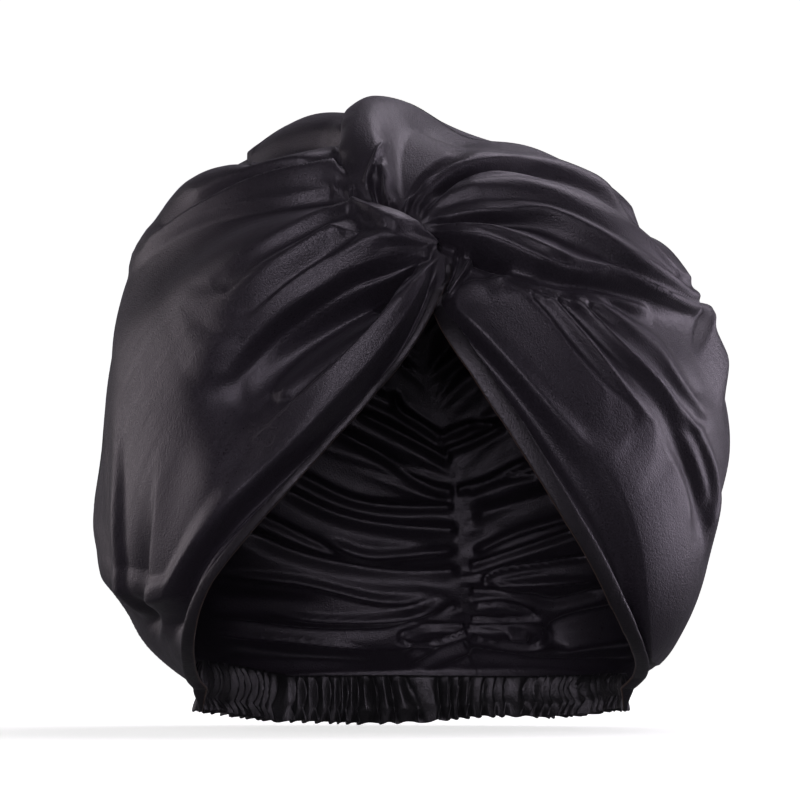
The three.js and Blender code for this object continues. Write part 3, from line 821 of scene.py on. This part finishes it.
def panel_mesh(name, panel, upper):
    """A panel's cloth from the knot to the rim and from the seam, loop or fold to the hem."""
    share = np.linspace(0, 1, PANEL_COLUMNS) ** COLUMN_EASE
    stops = [np.full(share.shape, float(stop)) for stop in (panel.start, *PANEL_STOPS)]
    stops.append(rim_distance(panel, upper, share, 0))
    rows = [stops[0][None]]
    for first, last, steps in zip(stops, stops[1:], PANEL_ROWS):
        rows.append(lerp(first, last, (np.arange(1, steps + 1) / steps)[:, None]))
    distance = np.vstack(rows)
    angle = lerp(upper(distance), face_angle(panel, distance), share)
    point = panel.point(distance, angle)
    cloth = point + form_normal(point) * cloth_height(panel, point)[..., None]
    hanging = bulge(point[-1])
    outward = unit(form_normal(point[-1]) * [1, 1, 0])
    step = (np.arange(1, TAIL_ROWS + 1) / TAIL_ROWS)[:, None]
    drop = (BULGE_DROP * hanging * step)[..., None] * np.array([0, 0, -1])
    curl = (BULGE_CURL * hanging * step**2)[..., None] * outward
    cloth = np.vstack([cloth, cloth[-1] + drop + curl])
    distance = np.vstack([distance, distance[-1] + TAIL_CLOTH * step])
    angle = np.vstack([angle, np.repeat(angle[-1:], TAIL_ROWS, 0)])
    return grid_mesh(name, cloth, np.stack([distance, angle], -1) / CLOTH_UNIT)


def outer_mesh(name, panel, upper):
    """The outer layer of a panel's back, which covers the folds of the inside."""
    share = np.linspace(0, 1, OUTER_COLUMNS) ** COLUMN_EASE
    rim = rim_distance(panel, upper, share, 0)
    distance = lerp(OUTER_FROM, rim, np.linspace(0, 1, OUTER_ROWS)[:, None])
    angle = lerp(upper(distance), face_angle(panel, distance), share)
    point = panel.point(distance, angle)
    normal = form_normal(point)
    inner = cloth_height(panel, point)
    outer = plain_height(panel, point, inside=False)
    height = np.maximum(inner + LAYER_GAP, lerp(inner, outer, smoothstep(normal[..., 1], *OUTER_BLEND)))
    uv = np.stack([distance, angle], -1) / CLOTH_UNIT
    return grid_mesh(name, point + normal * height[..., None], uv, normal[..., 1] > 0)


panel_left = panel_mesh("satin_left", LEFT, left_upper)
panel_right = panel_mesh("satin_right", RIGHT, right_upper)
back_left = outer_mesh("satin_back_left", LEFT, left_upper)
back_right = outer_mesh("satin_back_right", RIGHT, right_upper)

# Hems
HEM_THICKNESS = 1.7
HEM_ROLL = 3.4  # thickness of the turned part
HEM_TURNED = 0.65  # share of a full turn to the front that the lower part makes
HEM_RISE = 0.15  # slope of the turned part towards the opening
HEM_LIES = (13, 19)  # distances between which the left hem comes off the right panel
HEM_EVEN = 30  # steps to each side over which the left hem's height is evened out
HEM_TOP = (0.5, 4)  # share of the width at the knot and the degrees over which it grows to the full
HEM_TIP = (0.3, 3)  # the same at the foot
HEM_SQUARE = 0.8  # below 1 the section is squarer than an ellipse
HEM_STEPS = 420
HEM_STEP_EASE = 1.6  # steps are closer near the knot
HEM_SIDES = 16
INNER_STEP = 0.5  # degrees into the panel that give a hem's direction across
FLOOR_GAP = 0.3


def taper(past_end, narrow, reach):
    """The share of a width that is narrow at an end and full some reach past it."""
    return lerp(narrow, 1, smoothstep(past_end, 0, reach))


def hem_mesh(name, panel, upper, first):
    """A rolled hem along a panel's side of the face opening."""
    foot = rim_distance(panel, upper, np.ones(1), HEM_FOOT - RIM_CORNER)[0]
    distance = lerp(first, foot, np.linspace(0, 1, HEM_STEPS) ** HEM_STEP_EASE)
    meeting = face_angle(panel, distance)
    edge = panel.point(distance, panel.face_edge(distance))
    inner = panel.point(distance, meeting - INNER_STEP)
    height = cloth_height(panel, panel.point(distance, meeting))
    if panel is LEFT:
        lifted = np.maximum(height, plain_height(RIGHT, edge) + SEAT + HEM_THICKNESS / 2)
        height = lerp(lifted, height, smoothstep(distance, *HEM_LIES))
        window = np.hanning(2 * HEM_EVEN + 1)
        height = np.convolve(np.pad(height, HEM_EVEN, mode="edge"), window / window.sum(), mode="valid")
    turned = HEM_TURNED * (1 - smoothstep(edge[:, 2], *HEM_TURN))[:, None]
    across = unit(lerp(unit(edge - inner), np.array([-panel.side, 0, HEM_RISE]), turned))
    normal = unit(lerp(form_normal(edge), np.array([0, -1, 0]), turned))
    full = (taper(distance - first, *HEM_TOP) * taper(foot - distance, *HEM_TIP))[:, None]
    half = full * panel.hem_width(distance)[:, None] / 2
    thick = full * lerp(HEM_THICKNESS, HEM_ROLL, turned / HEM_TURNED)
    centre = edge + normal * height[:, None] - across * half
    turn = np.linspace(-0.5 * np.pi, 1.5 * np.pi, HEM_SIDES, endpoint=False)
    aside = half * signed_power(np.cos(turn), HEM_SQUARE)
    proud = thick / 2 * signed_power(np.sin(turn), HEM_SQUARE)
    rings = centre[:, None] + across[:, None] * aside[..., None] + normal[:, None] * proud[..., None]
    rings[..., 2] = np.maximum(rings[..., 2], FLOOR_GAP)
    along = np.concatenate([[0], np.cumsum(np.linalg.norm(np.diff(centre, axis=0), axis=1))])
    uv = np.stack(np.broadcast_arrays(along[:, None] / CLOTH_UNIT, turn[None] / (2 * np.pi) + 0.25), -1)
    return tube_mesh(name, rings, uv)


hem_left = hem_mesh("hem_left", LEFT, left_upper, first=3)
hem_right = hem_mesh("hem_right", RIGHT, right_upper, first=16)

# Nape casing: the share of the frill's height and of the casing's height above it, how far the two faces
# lie outside and inside the rim line, how deep the gathers are and how far each face puffs between them
CasingLevel = namedtuple("CasingLevel", "frill casing outside inside gather puff")
CASING_LEVELS = [CasingLevel(*row) for row in (
    (1, 1.1, 0.4, -0.4, 0.3, 0.0),
    (1, 1.0, 0.6, -0.6, 0.4, 0.3),
    (1, 0.86, 1.5, -1.0, 0.8, 0.9),
    (1, 0.7, 1.9, -1.3, 1.0, 1.2),
    (1, 0.5, 2.0, -1.4, 1.1, 1.3),
    (1, 0.3, 1.9, -1.3, 1.0, 1.2),
    (1, 0.12, 1.2, -0.9, 0.8, 0.8),
    (1, 0.0, 0.4, -0.4, 0.5, 0.1),
    (0.85, 0.0, 0.4, -0.4, 0.9, 0.0),
    (0.6, 0.0, 0.4, -0.4, 1.6, 0.0),
    (0.3, 0.0, 0.4, -0.4, 2.3, 0.0),
    (0.06, 0.0, 0.4, -0.4, 2.6, 0.0),
    (0.0, 0.0, 0.2, -0.2, 2.6, 0.0),
)]
CASING_FROM = -11  # degrees round from the right
CASING_TO = 191
CASING_STEPS = 1100
CASING_CLOTH = 3  # units of cloth along it
CASING_GATHERS = 54
# How the gathers wander along the casing, how their depth changes and how they slant
CASING_WANDER = [Wave(0.007, 41, 1), Wave(0.0035, 97, 0)]
CASING_SWING = [Wave(0.3, 23, 2), Wave(0.25, 61, 0)]
CASING_SLANT = [Wave(1.8, 19, 1), Wave(1.2, 47, 0)]
# One gather: the height of its crest, the depth of its crease and the change from one to the next, the turn
# and the mean of the lobe between creases, and how much and how fast the lobes lean with height
RIPPLE_CREST = 0.8
RIPPLE_CREASE = 2.4
RIPPLE_CHANGE = 0.3
LOBE_TURN = 0.4
LOBE_MEAN = 0.5
LOBE_LEAN = 0.18
LOBE_LEAN_RATE = 9
END_REACH = 12  # degrees over which the casing's ends draw in
END_INWARD = 1.5
# Heights of the casing's top and of the frill's lower edge at places from left to right
CASING_TOP = Edge((-88, 27), (-69, 23.5), (-50, 19.7), (50, 19.7), (70, 20.5), (88, 22))
FRILL_FOOT = Edge(
    (-88, 8), (-78, 5), (-56, 1.6), (-20, 0.2), (2, 0.8), (28, 3.2), (44, 3.6), (56, 3), (70, 4.6), (88, 8),
)
FRILL_HEIGHT = 6.6
FRILL_WAVE = 0.5


def rim_point(around, height):
    """The form's outline at a height, at angles round from the right."""
    rise = np.maximum(height, LOWEST) - CENTRE_Z
    scale = (1 - np.abs(rise / DOWN) ** DOWN_POWER) ** (1 / DOWN_POWER)
    cosine, sine = np.cos(around), np.sin(around)
    x = signed_power(cosine, 2 / PLAN_POWER) * HALF_WIDTH
    y = signed_power(sine, 2 / PLAN_POWER) * np.where(sine < 0, FRONT, BACK)
    return np.stack([x * scale, y * scale, height + 0 * around], -1)


def casing_mesh(name):
    """The ruched casing of the nape elastic with its frill."""
    share = np.linspace(0, 1, CASING_STEPS)
    around = np.radians(lerp(CASING_FROM, CASING_TO, share))
    line = rim_point(around, np.full(share.shape, RIM_CORNER))
    top = CASING_TOP(line[:, 0])
    foot = FRILL_FOOT(line[:, 0])
    seam = foot + FRILL_HEIGHT
    outward = unit(line * [1, 1, 0] - NECK_CENTRE)
    turn = 2 * np.pi * CASING_GATHERS * (share + wander(share, CASING_WANDER))
    hang = foot + FRILL_WAVE * (1 + np.sin(turn + 1))
    open_share = smoothstep(np.degrees(np.minimum(around - around[0], around[-1] - around)), 0, END_REACH)
    line = line - outward * (END_INWARD * (1 - open_share))[:, None]
    swing = open_share * (1 + wander(share, CASING_SWING))
    slant = wander(share, CASING_SLANT)
    rings = []
    for face, sign in (("outside", 1), ("inside", -1)):
        rows = []
        for level in CASING_LEVELS:
            leant = (turn + slant * (level.casing - 0.5)) / 2
            crease = RIPPLE_CREASE * (1 - np.abs(np.sin(leant))) ** 2
            ripple = swing * (RIPPLE_CREST - crease + RIPPLE_CHANGE * np.cos(leant + 2))
            lobe = swing * (np.abs(np.cos(leant + LOBE_TURN)) - LOBE_MEAN)
            lobe = lobe + LOBE_LEAN * np.sin(turn / 2 + LOBE_LEAN_RATE * level.casing)
            height = lerp(hang, seam, level.frill) + level.casing * (top - seam)
            reach = getattr(level, face) + level.gather * ripple + sign * level.puff * lobe
            rows.append(line * [1, 1, 0] + outward * reach[:, None] + height[:, None] * np.array([0, 0, 1]))
        rings += rows if sign > 0 else rows[::-1]
    rings = np.stack(rings, 1)
    ring_share = np.linspace(0, 1, rings.shape[1])
    uv = np.stack(np.broadcast_arrays(share[:, None] * CASING_CLOTH, ring_share[None]), -1)
    return tube_mesh(name, rings, uv)


casing = casing_mesh("casing")


class Nodes:
    """A new material, and what adds shader nodes and links to it."""

    def __init__(self, name):
        self.material = bpy.data.materials.new(name)
        self.material.use_nodes = True
        self.tree = self.material.node_tree
        self.shader = self.tree.nodes["Principled BSDF"]

    def fill(self, node, inputs):
        """Sets a node's inputs to values, or links them to sockets."""
        for name, value in inputs.items():
            if isinstance(value, bpy.types.NodeSocket):
                self.tree.links.new(value, node.inputs[name])
            else:
                node.inputs[name].default_value = value

    def add(self, kind, inputs=None, **settings):
        node = self.tree.nodes.new("ShaderNode" + kind)
        for setting, value in settings.items():
            setattr(node, setting, value)
        self.fill(node, inputs or {})
        return node


def satin_material(name, base, deep, roughness, streak):
    """Dark satin: a soft gloss, fine threads, faint pulls along the cloth and slow changes of colour."""
    nodes = Nodes(name)
    place = nodes.add("TexCoord").outputs["Object"]
    cloth = nodes.add("UVMap", uv_map="cloth")
    slow = nodes.add("TexNoise", {"Vector": place, "Scale": 18.0, "Detail": 4.0})
    tint = nodes.add("ValToRGB", {"Fac": slow.outputs["Fac"]})
    for stop, position, colour in zip(tint.color_ramp.elements, (0.3, 0.75), (deep, base)):
        stop.position = position
        stop.color = (*colour, 1)
    spread = nodes.add("Mapping", {"Vector": cloth.outputs["UV"], "Scale": streak})
    pulls = nodes.add("TexNoise", {
        "Vector": spread.outputs["Vector"], "Scale": 1.0, "Detail": 3.0,
    }).outputs["Fac"]
    gloss = nodes.add("MapRange", {
        "Value": pulls, "From Min": 0.3, "From Max": 0.7,
        "To Min": roughness - 0.05, "To Max": roughness + 0.06,
    })
    threads = nodes.add("TexNoise", {
        "Vector": place, "Scale": 1400.0, "Detail": 2.0, "Roughness": 0.7,
    }).outputs["Fac"]
    shade = nodes.add("Math", {0: threads, 1: 2.0}, operation="MULTIPLY")
    speckled = nodes.add("VectorMath", {
        0: tint.outputs["Color"], "Scale": shade.outputs["Value"],
    }, operation="SCALE")
    grain = nodes.add("Math", {0: threads, 1: 0.5}, operation="SUBTRACT")
    mixed = nodes.add("Math", {
        0: grain.outputs["Value"], 1: 0.55, 2: gloss.outputs["Result"],
    }, operation="MULTIPLY_ADD")
    fine = nodes.add("Bump", {"Height": threads, "Strength": 0.55, "Distance": 0.0004})
    coarse = nodes.add("Bump", {
        "Height": pulls, "Strength": 0.06, "Distance": 0.0012, "Normal": fine.outputs["Normal"],
    })
    nodes.fill(nodes.shader, {
        "Base Color": speckled.outputs["Vector"],
        "Roughness": mixed.outputs["Value"],
        "Normal": coarse.outputs["Normal"],
        "Specular IOR Level": 0.5,
        "Specular Tint": (0.93, 0.85, 1.0, 1),
        "Sheen Weight": 0.1,
        "Sheen Roughness": 0.35,
        "Sheen Tint": (0.8, 0.74, 0.9, 1),
    })
    return nodes


def brownish_hem_line(nodes, colour, place, width):
    """A brownish line along a hem's edge, at a share of the way round it."""
    cloth = nodes.add("UVMap", uv_map="cloth")
    parts = nodes.add("SeparateXYZ", {"Vector": cloth.outputs["UV"]})
    near = nodes.add("Math", {0: parts.outputs["Y"], 1: place, 2: width}, operation="COMPARE")
    plain = nodes.shader.inputs["Base Color"].links[0].from_socket
    mix = nodes.add("Mix", {
        "Factor": near.outputs["Value"], 6: plain, 7: (*colour, 1),
    }, data_type="RGBA")
    nodes.fill(nodes.shader, {"Base Color": mix.outputs[2]})


SATIN = satin_material("satin", (0.024, 0.0195, 0.028), (0.017, 0.014, 0.020), 0.4, (6, 60, 1))
HEM = satin_material("hem_satin", (0.018, 0.0155, 0.02), (0.011, 0.0095, 0.012), 0.4, (40, 4, 1))
CASING = satin_material("casing_satin", (0.012, 0.0115, 0.013), (0.007, 0.0068, 0.0078), 0.42, (60, 6, 1))
brownish_hem_line(HEM, colour=(0.075, 0.042, 0.03), place=0.27, width=0.045)

for piece, node, slot, cloth in (
    (panel_left, "panel_left", "satin", SATIN),
    (panel_right, "panel_right", "satin", SATIN),
    (back_left, "panel_left", "satin", SATIN),
    (back_right, "panel_right", "satin", SATIN),
    (hem_left, "front_hem_left", "hem", HEM),
    (hem_right, "front_hem_right", "hem", HEM),
    (casing, "nape_casing", "casing", CASING),
):
    piece.data.materials.append(cloth.material)
    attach(piece, "root")
    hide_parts(node)

# The stage, in metres: how far the floor and the walls reach and lie from the middle
STAGE_REACH = 6
WALL_PLACE = 5.9
WALL_FOOT = -1


def stage_material(name, near, far):
    """Plain white that glows a little, so that the floor fades into the backdrop away from the cap."""
    nodes = Nodes(name)
    place = nodes.add("TexCoord").outputs["Object"]
    away = nodes.add("VectorMath", {0: place}, operation="LENGTH")
    glow = nodes.add("MapRange", {
        "Value": away.outputs["Value"], "From Min": 0.15, "From Max": 0.8, "To Min": near, "To Max": far,
    })
    nodes.fill(nodes.shader, {
        "Emission Strength": glow.outputs["Result"],
        "Emission Color": (1, 1, 1, 1),
        "Base Color": (0.8, 0.8, 0.8, 1),
        "Roughness": 0.9,
    })
    return nodes.material


def stage_plane(name, corners, material):
    mesh = bpy.data.meshes.new(name)
    mesh.from_pydata(corners, [], [(0, 1, 2, 3)])
    mesh.materials.append(material)
    plane = add_object(name, mesh)
    plane.visible_diffuse = False
    plane.visible_glossy = False


PALE = stage_material("pale", 0.72, 1.0)
FLOOR_CORNERS = [(-1, -1, 0), (1, -1, 0), (1, 1, 0), (-1, 1, 0)]
stage_plane("floor", (np.array(FLOOR_CORNERS) * STAGE_REACH).tolist(), PALE)
for name, x, y in (("behind", 0, 1), ("before", 0, -1), ("left_wall", -1, 0), ("right_wall", 1, 0)):
    low = (WALL_PLACE * (x - abs(y)), WALL_PLACE * (y - abs(x)))
    high = (WALL_PLACE * (x + abs(y)), WALL_PLACE * (y + abs(x)))
    corners = [(*low, WALL_FOOT), (*high, WALL_FOOT), (*high, STAGE_REACH), (*low, STAGE_REACH)]
    stage_plane(name, corners, PALE)


def soft_light(name, place, target, size, power, color):
    data = bpy.data.lights.new(name, "AREA")
    data.shape = "RECTANGLE"
    data.size, data.size_y = size
    data.energy = power
    data.color = color
    light = add_object(name, data)
    light.location = place
    light.rotation_euler = (Vector(target) - Vector(place)).to_track_quat("-Z", "Y").to_euler()


# Places and sizes in metres, powers in watts
soft_light("left", (-1.25, 0.4, 0.22), (0, 0, 0.13), (0.8, 0.9), 4.9, (1.0, 0.92, 0.93))
soft_light("right", (1.25, 0.4, 0.28), (0, 0, 0.13), (0.8, 0.9), 8.5, (0.96, 0.88, 1.0))
soft_light("top", (0.45, 0.45, 1.22), (0, 0, 0.15), (0.9, 0.8), 6.4, (0.97, 0.9, 1.0))
soft_light("front", (-0.1, -1.9, 0.3), (0, 0, 0.1), (1.2, 0.8), 14, (1.0, 0.97, 1.0))
soft_light("over", (-0.4, -0.9, 1.2), (0, 0, 0.15), (0.8, 0.8), 0.4, (1.0, 0.95, 1.0))

world = bpy.data.worlds.new("studio")
world.use_nodes = True
world.node_tree.nodes["Background"].inputs["Color"].default_value = (1, 1, 1, 1)
world.node_tree.nodes["Background"].inputs["Strength"].default_value = 0.06
bpy.context.scene.world = world
bpy.context.scene.view_settings.view_transform = "Standard"

camera_data = bpy.data.cameras.new("camera")
reach = np.linalg.norm(AIM - EYE)
camera_data.angle = 2 * np.arctan(PICTURE_SIDE * MM_PER_PIXEL / 2 / reach)
camera = add_object("camera", camera_data)
camera.location = EYE * MM
camera.rotation_euler = Vector(AIM - EYE).to_track_quat("-Z", "Y").to_euler()
bpy.context.scene.camera = camera
